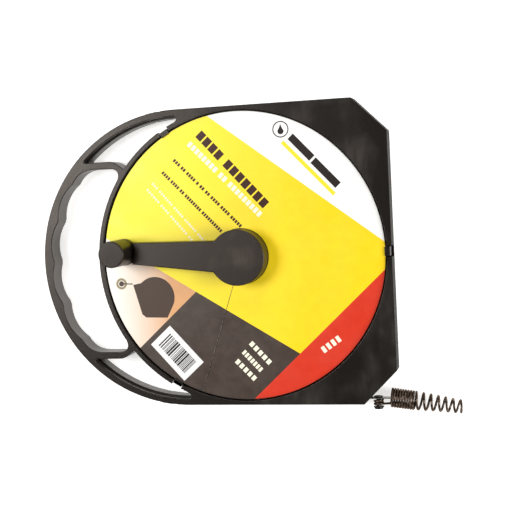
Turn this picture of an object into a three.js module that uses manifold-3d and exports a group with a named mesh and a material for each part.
// Hand drain auger with a flat spring-steel tape: one moulded case with a D-handle, a snap-in
// reel turned by a crank, the tape coiled inside it and a spiral head on the tape's end.
// Millimetres. The case lies on its back: Z = 0 is the back, +Z points out along the crank,
// the reel turns about Z through the origin, and the tape leaves towards +X along the bottom.
import * as THREE from 'three';
import { mergeVertices } from 'three/addons/utils/BufferGeometryUtils.js';
import Module from 'manifold-3d';

const wasm = await Module();
wasm.setup();

// ---- Clearances ----
const CLEARANCE = 0.3;          // between neighbouring pieces that touch or run on each other
const OVERCUT = 1;              // how far a cutting tool runs past the face it opens

// ---- Case ----
const CASE_DEPTH = 15;
const DISC_RADIUS = 100;        // of the reel, which everything round it follows
const DISC_PLAY = 0.5;
const POCKET_RADIUS = DISC_RADIUS + DISC_PLAY;
const RIM_WALL = 3.5;
const RIM_RADIUS = POCKET_RADIUS + RIM_WALL;
const RIM_FLAT = 0.5;           // what the case's straight long sides take off the rim
const CASE_HALF_HEIGHT = RIM_RADIUS - RIM_FLAT; // also the radius of the handle's outer arc
const CASE_RIGHT = RIM_RADIUS;  // from the reel axis to the flat right side
const CORNER_CHAMFER = 23;
const BACK_PLATE = 2;
const FRONT_PLATE = 2.4;        // over the two hollow right corners
const CASE_WALL = 2.4;
const HOLLOW_END = 6.5;         // width of a corner hollow where it runs out beside the rim
const FRONT_EDGE_BREAK = 0.6;   // small chamfer round the front of the case

// ---- Handle ----
const HANDLE_CENTRE_X = -42.3;
const GRIP_WIDTH = 7.5;         // at the ridges between the fingers
const FINGER_DEPTH = 2.3;
const FINGER_SPACING = 30.16;
const RIDGE_HALF_WIDTH = 1.5;
const FINGERS = 4;
const STRUT_WIDTH = 4.5;
const STRUT_LEDGE = 1.4;        // the strut is this much wider behind its front rib
const STRUT_RIB_DEPTH = 5;
const WEB_INNER = 65;           // the two webs that tie the handle to the rim
const WEB_THICKNESS = 5;
const WINDOW_ROUND = 8;         // from a web to where the finger window meets the rim's arc
const STRUT_FOOT_DROP = 0.7;    // a strut window runs this far down the rim past its web
const STRUT_TIP_SET = 0.7;      // a strut window ends this far left of the handle's centre

// ---- Snap clips ----
const CLIPS = 3;
const CLIP_WIDTH = 6.2;
const CLIP_SLOT = 0.7;
const CLIP_THICKNESS = 2.2;
const CLIP_DROP = 0.4;          // the clip's top is this much below the rim
const CLIP_HOOK = 1;            // how far the hook reaches over the disc and the label on it
const CLIP_ROOT = 3;            // height where the slots end

// ---- Reel ----
const DISC_THICKNESS = 2;
const DISC_RECESS = 2.1;        // from the case's front down to the disc
const DISC_TOP = CASE_DEPTH - DISC_RECESS;
const DISC_UNDERSIDE = DISC_TOP - DISC_THICKNESS;
const COLLAR_BORE = 10;
const COLLAR_WALL = 2.4;
const COLLAR_TOP = 7.6;
const JOURNAL_RADIUS = COLLAR_BORE - CLEARANCE;
const JOURNAL_BORE = 6;
const RIB_COUNT = 6;
const RIB_THICKNESS = 2;
const RIB_HEIGHT = 2;
const BARREL_WALL = 2.4;

// ---- Label ----
const LABEL_THICKNESS = 0.3;
const LABEL_RADIUS = DISC_RADIUS - 0.5;
const LABEL_SLIT = 0.4;
const LABEL_SLIT_ANGLE = -109 * Math.PI / 180;
const LABEL_TOP = DISC_TOP + CLEARANCE + LABEL_THICKNESS;

// ---- Crank and knob ----
const CRANK_REST_ANGLE = 176 * Math.PI / 180;
const CRANK_THROW = 85;
const CRANK_TOP = LABEL_TOP + 13.5;
const CRANK_LIFT = 0.7;         // the arm's underside above the label
const CRANK_WALL = 2.4;
const HUB_RADIUS = 19.2;
const ARM_WIDTH_AT_HUB = 23.1;
const ARM_WIDTH_AT_KNOB = 13.7;
const KNOB_RADIUS = 9.2;
const KNOB_SEAT_RADIUS = KNOB_RADIUS + 3.2; // the scoop in the arm's end that clears the knob
const TONGUE_THICKNESS = 4.2;
const TONGUE_RADIUS = KNOB_RADIUS + 0.2;
const KNOB_TOP = LABEL_TOP + 28;
const KNOB_BEVEL = 0.8;
const POST_RADIUS = 3.6;
const POST_BARB = 0.6;
const POST_LENGTH = 15;
const BARB_LENGTH = 1.6;
const CRANK_SCREWS = 3;
const SCREW_CIRCLE = HUB_RADIUS - 4.2;
const SCREW_RADIUS = 1.75;
const SCREW_HEAD_RADIUS = SCREW_RADIUS + 1.45;
const SCREW_HEAD_HEIGHT = 2;
const SCREW_LENGTH = 12;
const SCREW_BOSS_RADIUS = SCREW_RADIUS + 2.15;

// ---- Tape ----
const TAPE_LENGTH = 6096;       // twenty feet
const TAPE_WIDTH = 6.35;
const TAPE_THICKNESS = 0.45;
const TAPE_SIDE_PLAY = 0.425;   // between the tape's edge and the disc
const TAPE_HEIGHT = DISC_UNDERSIDE - TAPE_SIDE_PLAY - TAPE_WIDTH / 2;
const TAPE_INSET = 3.4;
const TAPE_LINE_Y = TAPE_INSET - CASE_HALF_HEIGHT; // where it runs straight out along the bottom
const COIL_PITCH = 0.7;
const COIL_OUTER_RADIUS = DISC_RADIUS - 1;
const COIL_STEPS_PER_TURN = 28;
const TAPE_SLOT_CLEARANCE = 0.4;
const CHANNEL_WALL = 2.4;
const BARREL_SLOT = 13;         // the opening the inner end passes through
const TAIL_LENGTH = 30;         // the inner end, turned in through the barrel

// ---- Spiral head ----
const RIVET_SET = 8.8;          // from where the corner starts to slope to the rivet
const RIVET_X = CASE_RIGHT - CORNER_CHAMFER + RIVET_SET;
const RIVET_RADIUS = 1.7;
const RIVET_BORE = RIVET_RADIUS - 0.7;
const RIVET_FLANGE_RADIUS = RIVET_RADIUS + 1.3;
const RIVET_FLANGE = 0.8;
const RIVET_WASHER = 0.6;
const RIVET_WASHER_RADIUS = RIVET_RADIUS + 1.9;
const LEAD_END_X = RIVET_X + 10.7;
const WIRE = 1.6;
const EYE_TURNS = 16 / 9;       // nearly two, from beside the rivet round to behind it
const EYE_PITCH = WIRE + CLEARANCE;
const HEAD_RADIUS = 6.7;
const HEAD_TIP_RADIUS = 4.8;
const HEAD_X = RIVET_X + 8.5;
const HEAD_Y = TAPE_LINE_Y + 0.2;
const HEAD_DROOP = -7.7 * Math.PI / 180;
const FIRST_PHASE = -0.25 * Math.PI; // where the first turn starts, behind and below its axis
const TIGHT_TURNS = 9.35;
const TIGHT_PITCH = 1.78;
const OPEN_TURNS = 6.25;
const OPEN_PITCH = 4.95;
const CLOSING_TURN = 0.4;       // the end of the wire, bent square
const HEAD_STEPS_PER_TURN = 14;
const WIRE_SIDES = 6;

// ---- Solids ----
function toManifold(geometry) {
  const bare = geometry.clone();
  bare.deleteAttribute('normal');
  bare.deleteAttribute('uv');
  const merged = mergeVertices(bare, 1e-4);
  const mesh = new wasm.Mesh({
    numProp: 3,
    vertProperties: new Float32Array(merged.attributes.position.array),
    triVerts: new Uint32Array(merged.index.array),
  });
  return new wasm.Manifold(mesh);
}

function toGeometry(manifold) {
  const mesh = manifold.getMesh();
  const geometry = new THREE.BufferGeometry();
  geometry.setAttribute('position', new THREE.BufferAttribute(new Float32Array(mesh.vertProperties), 3));
  geometry.setIndex(new THREE.BufferAttribute(new Uint32Array(mesh.triVerts), 1));
  geometry.computeVertexNormals();
  return geometry;
}

function prism(shape, bottom, top, segments = 12) {
  const geometry = new THREE.ExtrudeGeometry(shape, {
    depth: top - bottom, bevelEnabled: false, curveSegments: segments,
  });
  geometry.translate(0, 0, bottom);
  return toManifold(geometry);
}

function cylinder(radius, bottom, top, segments = 32) {
  const geometry = new THREE.CylinderGeometry(radius, radius, top - bottom, segments);
  geometry.rotateX(Math.PI / 2);
  geometry.translate(0, 0, (top + bottom) / 2);
  return toManifold(geometry);
}

function box(x0, x1, y0, y1, z0, z1) {
  const geometry = new THREE.BoxGeometry(x1 - x0, y1 - y0, z1 - z0);
  geometry.translate((x0 + x1) / 2, (y0 + y1) / 2, (z0 + z1) / 2);
  return toManifold(geometry);
}

// A turned body: profile points are [radius, height] round Z.
function turned(profile, segments = 32) {
  const points = profile.map(([radius, height]) => new THREE.Vector2(radius, height));
  const geometry = new THREE.LatheGeometry(points, segments);
  geometry.rotateX(Math.PI / 2);
  return geometry;
}

function turnZ(manifold, angle) {
  return manifold.rotate([0, 0, angle * 180 / Math.PI]);
}

function onCircle(radius, angle, centreX = 0) {
  return new THREE.Vector2(centreX + radius * Math.cos(angle), radius * Math.sin(angle));
}

function polygon(corners) {
  return new THREE.Shape(corners.map(([x, y]) => new THREE.Vector2(x, y)));
}

// ---- Case outline and its windows ----
function caseOutline(inset) {
  const half = CASE_HALF_HEIGHT - inset;
  const right = CASE_RIGHT - inset;
  const cut = CORNER_CHAMFER - inset * (2 - Math.SQRT2);
  const shape = new THREE.Shape();
  shape.moveTo(HANDLE_CENTRE_X, -half);
  shape.lineTo(right - cut, -half);
  shape.lineTo(right, -half + cut);
  shape.lineTo(right, half - cut);
  shape.lineTo(right - cut, half);
  shape.lineTo(HANDLE_CENTRE_X, half);
  shape.absarc(HANDLE_CENTRE_X, 0, half, Math.PI / 2, 3 * Math.PI / 2, false);
  return shape;
}

// The finger window: scalloped on the grip's side, round the rim on the other.
function fingerWindow() {
  const ridge = CASE_HALF_HEIGHT - GRIP_WIDTH;
  const hollow = ridge + FINGER_DEPTH;
  const pitch = FINGER_SPACING / ridge;
  const tip = RIDGE_HALF_WIDTH / ridge;
  const half = pitch / 2 - tip;
  const control = 2 * hollow - ridge * Math.cos(half);
  const lowest = Math.PI + FINGERS * pitch / 2;
  const gripEnd = onCircle(ridge, lowest - tip, HANDLE_CENTRE_X);
  const rimSpan = Math.asin((WEB_INNER - WINDOW_ROUND) / RIM_RADIUS);
  const rimEnd = onCircle(RIM_RADIUS, Math.PI - rimSpan);
  const flatStart = gripEnd.x + 0.3 * (rimEnd.x - gripEnd.x) + 6;
  const flatEnd = rimEnd.x - 6.5;
  const shape = new THREE.Shape();
  shape.moveTo(gripEnd.x, gripEnd.y);
  for (let finger = 0; finger < FINGERS; finger += 1) {
    const middle = lowest - (finger + 0.5) * pitch;
    const from = onCircle(ridge, middle + half, HANDLE_CENTRE_X);
    const bulge = onCircle(control, middle, HANDLE_CENTRE_X);
    const to = onCircle(ridge, middle - half, HANDLE_CENTRE_X);
    shape.lineTo(from.x, from.y);
    shape.quadraticCurveTo(bulge.x, bulge.y, to.x, to.y);
  }
  shape.quadraticCurveTo(gripEnd.x + 5.5, WEB_INNER, flatStart, WEB_INNER);
  shape.lineTo(flatEnd, WEB_INNER);
  shape.quadraticCurveTo(rimEnd.x + 3, WEB_INNER, rimEnd.x, rimEnd.y);
  shape.absarc(0, 0, RIM_RADIUS, Math.PI - rimSpan, Math.PI + rimSpan, false);
  shape.quadraticCurveTo(rimEnd.x + 3, -WEB_INNER, flatEnd, -WEB_INNER);
  shape.lineTo(flatStart, -WEB_INNER);
  shape.quadraticCurveTo(gripEnd.x + 5.5, -WEB_INNER, gripEnd.x, gripEnd.y);
  return shape;
}

// One long thin window between strut, rim and web. side is 1 above the axis and -1 below it.
function strutWindow(strutWidth, side) {
  const strut = CASE_HALF_HEIGHT - strutWidth;
  const webOuter = WEB_INNER + WEB_THICKNESS;
  const tipX = HANDLE_CENTRE_X - STRUT_TIP_SET;
  const rimTip = Math.acos(tipX / RIM_RADIUS);
  const strutTip = Math.acos((tipX - HANDLE_CENTRE_X) / strut);
  const rimFoot = Math.PI - Math.asin((WEB_INNER - STRUT_FOOT_DROP) / RIM_RADIUS);
  const strutFoot = Math.PI - Math.asin((webOuter + 1.8) / strut);
  const corner = HANDLE_CENTRE_X - Math.sqrt(strut * strut - webOuter * webOuter);
  const foot = onCircle(RIM_RADIUS, rimFoot);
  const rimTipY = RIM_RADIUS * Math.sin(rimTip);
  const strutTipY = strut * Math.sin(strutTip);
  const bendX = foot.x - 10.3;
  const shape = new THREE.Shape();
  shape.moveTo(tipX, side * rimTipY);
  shape.quadraticCurveTo(tipX + 3.4, side * (rimTipY + strutTipY) / 2, tipX, side * strutTipY);
  shape.absarc(HANDLE_CENTRE_X, 0, strut, side * strutTip, side * strutFoot, side < 0);
  shape.quadraticCurveTo(corner, side * webOuter, corner + 2.8, side * webOuter);
  shape.lineTo(bendX, side * webOuter);
  shape.quadraticCurveTo(bendX + 4, side * webOuter, foot.x, side * foot.y);
  shape.absarc(0, 0, RIM_RADIUS, side * rimFoot, side * rimTip, side > 0);
  return shape;
}

// A right corner of the case is hollow from behind. side is 1 above the axis and -1 below it.
function cornerHollow(side) {
  const floor = side > 0 ? CASE_HALF_HEIGHT - CASE_WALL : channelInnerY();
  const right = CASE_RIGHT - CASE_WALL;
  const slope = CASE_RIGHT + CASE_HALF_HEIGHT - CORNER_CHAMFER - CASE_WALL * Math.SQRT2;
  const nearX = Math.sqrt(RIM_RADIUS ** 2 - (floor - HOLLOW_END) ** 2);
  const nearY = Math.sqrt(RIM_RADIUS ** 2 - (right - HOLLOW_END) ** 2);
  const outline = polygon([
    [nearX, side * nearY], [right, side * nearY], [right, side * (slope - right)],
    [slope - floor, side * floor], [nearX, side * floor],
  ]);
  const block = prism(outline, -OVERCUT, CASE_DEPTH - FRONT_PLATE);
  return block.subtract(cylinder(RIM_RADIUS, -2 * OVERCUT, CASE_DEPTH, 96));
}

function channelInnerY() {
  return -TAPE_LINE_Y - TAPE_THICKNESS / 2 - TAPE_SLOT_CLEARANCE - CHANNEL_WALL;
}

// The wall round each clip is slotted and set back so that the clip can spring outwards.
function clipCut(angle) {
  const slotOuter = CLIP_WIDTH / 2 + CLIP_SLOT;
  const top = CASE_DEPTH + OVERCUT;
  const outer = RIM_RADIUS + OVERCUT;
  const wall = box(POCKET_RADIUS - OVERCUT, outer, -slotOuter, slotOuter, CLIP_ROOT, top);
  const tongueOuter = POCKET_RADIUS + CLIP_THICKNESS;
  const tongueTop = CASE_DEPTH - CLIP_DROP;
  const tongue = box(POCKET_RADIUS, tongueOuter, -CLIP_WIDTH / 2, CLIP_WIDTH / 2, 0, tongueTop);
  return turnZ(wall.subtract(tongue), angle);
}

function clipHook(angle) {
  const top = CASE_DEPTH - CLIP_DROP;
  const under = LABEL_TOP + CLEARANCE;
  const inner = DISC_RADIUS - CLIP_HOOK;
  const outer = POCKET_RADIUS + CLIP_THICKNESS;
  const half = CLIP_WIDTH / 2;
  const lead = (top - under) / 2;
  const outline = polygon([
    [inner, under], [outer, under], [outer, top], [inner + lead, top], [inner, top - lead],
  ]);
  const geometry = new THREE.ExtrudeGeometry(outline, { depth: CLIP_WIDTH, bevelEnabled: false });
  geometry.rotateX(Math.PI / 2);
  geometry.translate(0, half, 0);
  return turnZ(toManifold(geometry), angle);
}

function caseSolid() {
  const body = prism(caseOutline(0), 0, CASE_DEPTH - FRONT_EDGE_BREAK, 40);
  const lip = new THREE.ExtrudeGeometry(caseOutline(FRONT_EDGE_BREAK), {
    depth: FRONT_EDGE_BREAK,
    bevelEnabled: true,
    bevelThickness: FRONT_EDGE_BREAK,
    bevelSize: FRONT_EDGE_BREAK,
    bevelSegments: 1,
    curveSegments: 40,
  });
  lip.translate(0, 0, CASE_DEPTH - 2 * FRONT_EDGE_BREAK);
  let solid = body.add(toManifold(lip));
  solid = solid.subtract(box(-500, 500, -500, 500, CASE_DEPTH, CASE_DEPTH + 20));
  solid = solid.subtract(cylinder(POCKET_RADIUS, BACK_PLATE, CASE_DEPTH + OVERCUT, 84));
  solid = solid.subtract(prism(fingerWindow(), -OVERCUT, CASE_DEPTH + OVERCUT, 7));
  const ribFoot = CASE_DEPTH - STRUT_RIB_DEPTH;
  for (const side of [1, -1]) {
    const front = strutWindow(STRUT_WIDTH, side);
    const rear = strutWindow(STRUT_WIDTH + STRUT_LEDGE, side);
    solid = solid.subtract(prism(front, ribFoot, CASE_DEPTH + OVERCUT, 14));
    solid = solid.subtract(prism(rear, -OVERCUT, ribFoot + 0.01, 14));
    solid = solid.subtract(cornerHollow(side));
  }
  for (let clip = 0; clip < CLIPS; clip += 1) {
    const angle = clip * 2 * Math.PI / CLIPS;
    solid = solid.subtract(clipCut(angle)).add(clipHook(angle));
  }
  const slotHalfWidth = TAPE_WIDTH / 2 + TAPE_SLOT_CLEARANCE;
  const slotHalfGap = TAPE_THICKNESS / 2 + TAPE_SLOT_CLEARANCE;
  solid = solid.subtract(box(
    0, CASE_RIGHT,
    TAPE_LINE_Y - slotHalfGap, TAPE_LINE_Y + slotHalfGap,
    TAPE_HEIGHT - slotHalfWidth, TAPE_HEIGHT + slotHalfWidth,
  ));
  const collar = cylinder(COLLAR_BORE + COLLAR_WALL, BACK_PLATE / 2, COLLAR_TOP, 36);
  return solid.add(collar.subtract(cylinder(COLLAR_BORE, BACK_PLATE, COLLAR_TOP + OVERCUT, 36)));
}

// ---- Tape ----
const coilFlat = innerCoilRadius() * Math.cos(Math.PI / COIL_STEPS_PER_TURN);
const barrelRadius = coilFlat - TAPE_THICKNESS / 2 - CLEARANCE;
const barrelInner = barrelRadius - BARREL_WALL;

function coilTurns() {
  // Mean radius times turns gives the coiled length, the rest of the tape is straight.
  const coiled = TAPE_LENGTH - LEAD_END_X - TAIL_LENGTH;
  const a = Math.PI * COIL_PITCH;
  const b = 2 * Math.PI * COIL_OUTER_RADIUS;
  return (b - Math.sqrt(b * b - 4 * a * coiled)) / (2 * a);
}

function innerCoilRadius() {
  return COIL_OUTER_RADIUS - COIL_PITCH * coilTurns();
}

function coilInnerAngle() {
  return -Math.PI / 2 - 2 * Math.PI * coilTurns();
}

// From the bottom of the case inwards, then in through the barrel's slot to lie against its inside.
function coilLine() {
  const points = [];
  const total = coilTurns();
  const steps = Math.ceil(total * COIL_STEPS_PER_TURN);
  for (let step = 0; step <= steps; step += 1) {
    const turn = Math.min(total, step / COIL_STEPS_PER_TURN);
    points.push(onCircle(COIL_OUTER_RADIUS - COIL_PITCH * turn, -Math.PI / 2 - 2 * Math.PI * turn));
  }
  const tailRadius = barrelInner - TAPE_THICKNESS / 2 - CLEARANCE;
  const tailAngle = TAIL_LENGTH / tailRadius;
  const crossing = 0.15;
  for (let step = 1; step <= 6; step += 1) {
    const share = step / 6;
    const eased = share * share * (3 - 2 * share);
    const radius = innerCoilRadius() + (tailRadius - innerCoilRadius()) * eased;
    points.push(onCircle(radius, coilInnerAngle() - crossing * share));
  }
  for (let step = 1; step <= 3; step += 1) {
    const angle = crossing + (tailAngle - crossing) * step / 3;
    points.push(onCircle(tailRadius, coilInnerAngle() - angle));
  }
  return points;
}

// A strip of even thickness either side of a line, standing on its edge.
function ribbon(line, thickness, bottom, top) {
  const left = [];
  const right = [];
  line.forEach((point, index) => {
    const before = line[Math.max(0, index - 1)];
    const after = line[Math.min(line.length - 1, index + 1)];
    const away = after.clone().sub(before).normalize().multiplyScalar(thickness / 2);
    left.push(new THREE.Vector2(point.x - away.y, point.y + away.x));
    right.push(new THREE.Vector2(point.x + away.y, point.y - away.x));
  });
  return prism(new THREE.Shape([...left, ...right.reverse()]), bottom, top);
}

const anchorAngles = [coilInnerAngle() - 0.2, coilInnerAngle() - 0.29];
const ANCHOR_RADIUS = 1.2;

function alongRadius(radius, from, to, angle) {
  const geometry = new THREE.CylinderGeometry(radius, radius, to - from, 16);
  geometry.rotateZ(-Math.PI / 2);
  geometry.translate((from + to) / 2, 0, TAPE_HEIGHT);
  return turnZ(toManifold(geometry), angle);
}

function tapeCoil() {
  const half = TAPE_WIDTH / 2;
  let solid = ribbon(coilLine(), TAPE_THICKNESS, TAPE_HEIGHT - half, TAPE_HEIGHT + half);
  for (const angle of anchorAngles) {
    solid = solid.subtract(alongRadius(ANCHOR_RADIUS + CLEARANCE, barrelInner - 4, barrelInner, angle));
  }
  return solid;
}

// A flat-headed rivet: head inside the barrel over the tape's end, closed flush outside.
function anchorRivet(angle) {
  const tapeInside = barrelInner - TAPE_THICKNESS - 2 * CLEARANCE;
  const head = alongRadius(2.3, tapeInside - 0.8, tapeInside, angle);
  return head.add(alongRadius(ANCHOR_RADIUS, tapeInside - 0.4, barrelRadius - 0.2, angle));
}

function tapeLead() {
  const half = TAPE_WIDTH / 2;
  const corner = 1.5;
  const shape = new THREE.Shape();
  shape.moveTo(0.5, -half);
  shape.lineTo(LEAD_END_X - corner, -half);
  shape.absarc(LEAD_END_X - corner, -half + corner, corner, -Math.PI / 2, 0, false);
  shape.absarc(LEAD_END_X - corner, half - corner, corner, 0, Math.PI / 2, false);
  shape.lineTo(0.5, half);
  const hole = new THREE.Path();
  hole.absarc(RIVET_X, 0, RIVET_RADIUS + CLEARANCE, 0, 2 * Math.PI, true);
  shape.holes.push(hole);
  const geometry = new THREE.ExtrudeGeometry(shape, {
    depth: TAPE_THICKNESS, bevelEnabled: false, curveSegments: 8,
  });
  geometry.rotateX(Math.PI / 2);
  geometry.translate(0, TAPE_LINE_Y + TAPE_THICKNESS / 2, TAPE_HEIGHT);
  return toManifold(geometry);
}

// ---- Reel ----
function reelSolid() {
  let solid = cylinder(DISC_RADIUS, DISC_UNDERSIDE, DISC_TOP, 84);
  const barrelFoot = BACK_PLATE + 1.2;
  const barrel = cylinder(barrelRadius, barrelFoot, DISC_UNDERSIDE + 0.5, 72)
    .subtract(cylinder(barrelInner, barrelFoot - OVERCUT, DISC_UNDERSIDE, 72));
  solid = solid.add(barrel);
  for (let rib = 0; rib < RIB_COUNT; rib += 1) {
    const bar = box(
      0, barrelInner + 1, -RIB_THICKNESS / 2, RIB_THICKNESS / 2,
      DISC_UNDERSIDE - RIB_HEIGHT, DISC_UNDERSIDE + 0.5,
    );
    solid = solid.add(turnZ(bar, CRANK_REST_ANGLE + rib * 2 * Math.PI / RIB_COUNT));
  }
  solid = solid.add(cylinder(JOURNAL_RADIUS, BACK_PLATE + CLEARANCE, DISC_UNDERSIDE + 0.5, 36));
  solid = solid.subtract(cylinder(JOURNAL_BORE, BACK_PLATE, DISC_UNDERSIDE, 32));
  for (const angle of screwAngles()) {
    const spot = onCircle(SCREW_CIRCLE, CRANK_REST_ANGLE + angle);
    const hole = cylinder(SCREW_RADIUS + CLEARANCE, DISC_UNDERSIDE - OVERCUT, DISC_TOP + OVERCUT, 16);
    solid = solid.subtract(hole.translate([spot.x, spot.y, 0]));
  }
  const slot = box(
    barrelInner - OVERCUT, barrelRadius + OVERCUT, -BARREL_SLOT / 2, BARREL_SLOT / 2,
    barrelFoot - OVERCUT, TAPE_HEIGHT + TAPE_WIDTH / 2 + CLEARANCE,
  );
  solid = solid.subtract(turnZ(slot, coilInnerAngle() - 0.075));
  for (const angle of anchorAngles) {
    solid = solid.subtract(alongRadius(ANCHOR_RADIUS + CLEARANCE, barrelInner - 1, barrelRadius + 1, angle));
  }
  return solid;
}

function screwAngles() {
  const angles = [];
  for (let screw = 0; screw < CRANK_SCREWS; screw += 1) {
    angles.push(Math.PI / 6 + screw * 2 * Math.PI / CRANK_SCREWS);
  }
  return angles;
}

function labelSheet() {
  const inner = HUB_RADIUS + CLEARANCE;
  const outerHalf = LABEL_SLIT / 2 / LABEL_RADIUS;
  const innerHalf = LABEL_SLIT / 2 / inner;
  const start = LABEL_SLIT_ANGLE;
  const end = LABEL_SLIT_ANGLE + 2 * Math.PI;
  const shape = new THREE.Shape();
  shape.absarc(0, 0, LABEL_RADIUS, start + outerHalf, end - outerHalf, false);
  shape.absarc(0, 0, inner, end - innerHalf, start + innerHalf, true);
  return prism(shape, LABEL_TOP - LABEL_THICKNESS, LABEL_TOP, 42);
}

// ---- Crank, drawn along +X and turned to its rest angle by its group ----
const crankFoot = DISC_TOP + CLEARANCE;
const armFoot = LABEL_TOP + CRANK_LIFT;

function armShape(fromX, toX, inset) {
  const halfAt = (x) => {
    const share = x / CRANK_THROW;
    return (ARM_WIDTH_AT_HUB * (1 - share) + ARM_WIDTH_AT_KNOB * share) / 2 - inset;
  };
  return polygon([
    [fromX, -halfAt(fromX)], [toX, -halfAt(toX)], [toX, halfAt(toX)], [fromX, halfAt(fromX)],
  ]);
}

function crankSolid() {
  const tongueTop = armFoot + TONGUE_THICKNESS;
  const seatX = CRANK_THROW - KNOB_SEAT_RADIUS;
  let solid = cylinder(HUB_RADIUS, crankFoot, CRANK_TOP, 48);
  const arm = prism(armShape(0, CRANK_THROW, 0), armFoot, CRANK_TOP);
  const scoop = cylinder(KNOB_SEAT_RADIUS, tongueTop, CRANK_TOP + OVERCUT, 48)
    .translate([CRANK_THROW, 0, 0]);
  solid = solid.add(arm.subtract(scoop));
  solid = solid.add(cylinder(TONGUE_RADIUS, armFoot, tongueTop, 40).translate([CRANK_THROW, 0, 0]));
  const ceiling = CRANK_TOP - CRANK_WALL;
  let hollow = cylinder(HUB_RADIUS - CRANK_WALL, crankFoot - OVERCUT, ceiling, 40);
  const armEnd = seatX - CRANK_WALL - 2;
  hollow = hollow.add(prism(armShape(0, armEnd, CRANK_WALL), armFoot - OVERCUT, ceiling));
  solid = solid.subtract(hollow);
  for (const angle of screwAngles()) {
    const spot = onCircle(SCREW_CIRCLE, angle);
    const boss = cylinder(SCREW_BOSS_RADIUS, crankFoot, ceiling + 0.5, 18);
    const drill = cylinder(SCREW_RADIUS + CLEARANCE, crankFoot - OVERCUT, crankFoot + SCREW_LENGTH - 2, 16);
    solid = solid.add(boss.translate([spot.x, spot.y, 0])).subtract(drill.translate([spot.x, spot.y, 0]));
  }
  const postTop = tongueTop + POST_LENGTH;
  const post = turned([
    [0, tongueTop - 1], [POST_RADIUS, tongueTop - 1], [POST_RADIUS, postTop - BARB_LENGTH],
    [POST_RADIUS + POST_BARB, postTop - BARB_LENGTH], [POST_RADIUS, postTop], [0, postTop],
  ], 24);
  const round = cylinder(HUB_RADIUS, crankFoot, CRANK_TOP, 48);
  const outside = round.add(prism(armShape(0, CRANK_THROW, 0), armFoot, CRANK_TOP));
  const trimmed = solid.intersect(outside.add(cylinder(TONGUE_RADIUS, armFoot, tongueTop, 40)
    .translate([CRANK_THROW, 0, 0])));
  return trimmed.add(toManifold(post).translate([CRANK_THROW, 0, 0]));
}

function knobGeometry() {
  const foot = armFoot + TONGUE_THICKNESS + CLEARANCE;
  const barbFoot = armFoot + TONGUE_THICKNESS + POST_LENGTH - BARB_LENGTH;
  const bore = POST_RADIUS + CLEARANCE;
  const groove = POST_RADIUS + POST_BARB + CLEARANCE;
  return turned([
    [0, barbFoot + BARB_LENGTH + CLEARANCE], [groove, barbFoot + BARB_LENGTH + CLEARANCE],
    [groove, barbFoot - CLEARANCE], [bore, barbFoot - CLEARANCE], [bore, foot],
    [KNOB_RADIUS, foot], [KNOB_RADIUS, KNOB_TOP - KNOB_BEVEL],
    [KNOB_RADIUS - KNOB_BEVEL, KNOB_TOP], [0, KNOB_TOP],
  ], 40);
}

function crankScrew() {
  const headTop = DISC_UNDERSIDE - CLEARANCE;
  const headFoot = headTop - SCREW_HEAD_HEIGHT;
  const tip = headTop + SCREW_LENGTH;
  return turned([
    [0, headFoot], [SCREW_HEAD_RADIUS - 0.8, headFoot], [SCREW_HEAD_RADIUS, headFoot + 0.8],
    [SCREW_HEAD_RADIUS, headTop], [SCREW_RADIUS, headTop], [SCREW_RADIUS, tip - 1.2],
    [SCREW_RADIUS - 1, tip], [0, tip],
  ], 16);
}

// ---- Spiral head: eye round the rivet, close turns, then open turns that taper to the tip ----
const tapeUnder = TAPE_LINE_Y - TAPE_THICKNESS / 2;
const eyeY = tapeUnder - CLEARANCE - WIRE / 2;
const eyeRadius = RIVET_RADIUS + CLEARANCE + WIRE / 2;
const eyeEndY = eyeY - EYE_PITCH * EYE_TURNS;

function headPath() {
  const points = [];
  const eyeSteps = 25;
  for (let step = 0; step <= eyeSteps; step += 1) {
    const turned = EYE_TURNS * step / eyeSteps;
    const angle = 2 * Math.PI * (turned - EYE_TURNS) - Math.PI / 2;
    points.push(new THREE.Vector3(
      RIVET_X + eyeRadius * Math.cos(angle),
      eyeY - EYE_PITCH * turned,
      TAPE_HEIGHT + eyeRadius * Math.sin(angle),
    ));
  }
  const along = new THREE.Vector3(Math.cos(HEAD_DROOP), Math.sin(HEAD_DROOP), 0);
  const across = new THREE.Vector3(Math.sin(HEAD_DROOP), -Math.cos(HEAD_DROOP), 0);
  const meanRadius = HEAD_RADIUS - WIRE / 2;
  const tipRadius = HEAD_TIP_RADIUS - WIRE / 2;
  const turns = TIGHT_TURNS + OPEN_TURNS + CLOSING_TURN;
  const steps = Math.round(turns * HEAD_STEPS_PER_TURN);
  const washerClear = RIVET_X + RIVET_WASHER_RADIUS + WIRE / 2;
  points.push(new THREE.Vector3(washerClear, eyeEndY, TAPE_HEIGHT - eyeRadius * 1.1));
  for (let step = 0; step <= steps; step += 1) {
    const turn = turns * step / steps;
    const open = Math.min(Math.max(0, turn - TIGHT_TURNS), OPEN_TURNS);
    const travel = TIGHT_PITCH * Math.min(turn, TIGHT_TURNS) + OPEN_PITCH * open;
    const radius = meanRadius + (tipRadius - meanRadius) * open / OPEN_TURNS;
    const phase = FIRST_PHASE - 2 * Math.PI * turn;
    const spot = new THREE.Vector3(HEAD_X, HEAD_Y, TAPE_HEIGHT);
    spot.addScaledVector(along, travel);
    spot.addScaledVector(across, radius * Math.cos(phase));
    spot.z += radius * Math.sin(phase);
    points.push(spot);
  }
  const path = new THREE.CatmullRomCurve3(points, false, 'centripetal');
  path.arcLengthDivisions = points.length * 8;
  return path;
}

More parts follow.
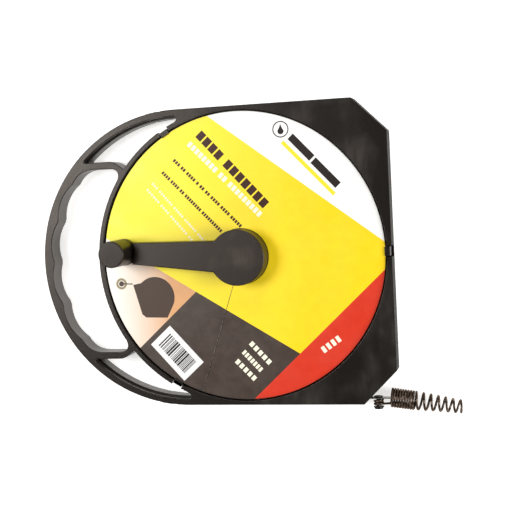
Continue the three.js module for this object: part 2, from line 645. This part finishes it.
function augerHead() {
  const section = new THREE.Shape();
  section.absarc(0, 0, WIRE / 2, 0, 2 * Math.PI, false);
  const wire = new THREE.ExtrudeGeometry(polygon(section.getPoints(WIRE_SIDES).slice(0, WIRE_SIDES)
    .map((point) => [point.x, point.y])), {
    steps: Math.round((EYE_TURNS + TIGHT_TURNS + OPEN_TURNS + CLOSING_TURN) * HEAD_STEPS_PER_TURN),
    bevelEnabled: false,
    extrudePath: headPath(),
  });
  return toManifold(wire);
}

// A hollow rivet along Y with a rolled flange at each end.
function headRivet() {
  const tapeOver = TAPE_LINE_Y + TAPE_THICKNESS / 2;
  const upper = tapeOver + CLEARANCE;
  const lower = eyeEndY - WIRE / 2 - 2 * CLEARANCE - RIVET_WASHER;
  const profile = [
    [RIVET_BORE, lower - RIVET_FLANGE], [RIVET_FLANGE_RADIUS, lower - RIVET_FLANGE],
    [RIVET_FLANGE_RADIUS, lower], [RIVET_RADIUS, lower], [RIVET_RADIUS, upper],
    [RIVET_FLANGE_RADIUS, upper], [RIVET_FLANGE_RADIUS - 0.3, upper + RIVET_FLANGE],
    [RIVET_BORE + 0.4, upper + RIVET_FLANGE], [RIVET_BORE, upper + RIVET_FLANGE - 0.4],
    [RIVET_BORE, lower - RIVET_FLANGE],
  ];
  return ringAlongY(profile);
}

function headWasher() {
  const top = eyeEndY - WIRE / 2 - CLEARANCE;
  const bore = RIVET_RADIUS + CLEARANCE;
  return ringAlongY([
    [bore, top - RIVET_WASHER], [RIVET_WASHER_RADIUS, top - RIVET_WASHER],
    [RIVET_WASHER_RADIUS, top], [bore, top], [bore, top - RIVET_WASHER],
  ]);
}

function ringAlongY(profile) {
  const points = profile.map(([radius, height]) => new THREE.Vector2(radius, height));
  const geometry = new THREE.LatheGeometry(points, 24);
  geometry.translate(RIVET_X, 0, TAPE_HEIGHT);
  return geometry;
}

// ---- Assembly ----
function material(color, roughness, metalness) {
  return new THREE.MeshStandardMaterial({ color, roughness, metalness });
}

function piece(name, solid, look) {
  const mesh = new THREE.Mesh(solid.isBufferGeometry ? solid : toGeometry(solid), look);
  mesh.name = name;
  return mesh;
}

function drainAuger() {
  const auger = new THREE.Group();
  auger.name = 'drain_auger';
  auger.add(piece('housing', caseSolid(), material(0x1d1c1c, 0.6, 0)));

  const reel = new THREE.Group();
  reel.name = 'reel_group';
  reel.add(piece('reel', reelSolid(), material(0x232222, 0.55, 0)));
  reel.add(piece('label', labelSheet(), material(0xf3cf1f, 0.45, 0)));
  reel.add(piece('tape_coil', tapeCoil(), material(0x5d5a55, 0.35, 1)));
  anchorAngles.forEach((angle, index) => {
    reel.add(piece(`tape_anchor_rivet_${index + 1}`, anchorRivet(angle), material(0x9a9a98, 0.35, 1)));
  });
  auger.add(reel);

  const crank = new THREE.Group();
  crank.name = 'crank_group';
  crank.rotation.z = CRANK_REST_ANGLE;
  crank.add(piece('crank', crankSolid(), material(0x242323, 0.5, 0)));
  const knob = piece('knob', knobGeometry(), material(0x262525, 0.4, 0));
  knob.position.set(CRANK_THROW, 0, 0);
  crank.add(knob);
  screwAngles().forEach((angle, index) => {
    const screw = piece(`crank_screw_${index + 1}`, crankScrew(), material(0xa9a9a6, 0.3, 1));
    const spot = onCircle(SCREW_CIRCLE, angle);
    screw.position.set(spot.x, spot.y, 0);
    crank.add(screw);
  });
  auger.add(crank);

  const tape = new THREE.Group();
  tape.name = 'tape_group';
  tape.add(piece('tape_lead', tapeLead(), material(0x5d5a55, 0.35, 1)));
  tape.add(piece('head_rivet', headRivet(), material(0x77746f, 0.4, 1)));
  tape.add(piece('head_washer', headWasher(), material(0x6b6863, 0.4, 1)));
  tape.add(piece('auger_head', augerHead(), material(0x3b342e, 0.4, 1)));
  auger.add(tape);
  return auger;
}

export default drainAuger();
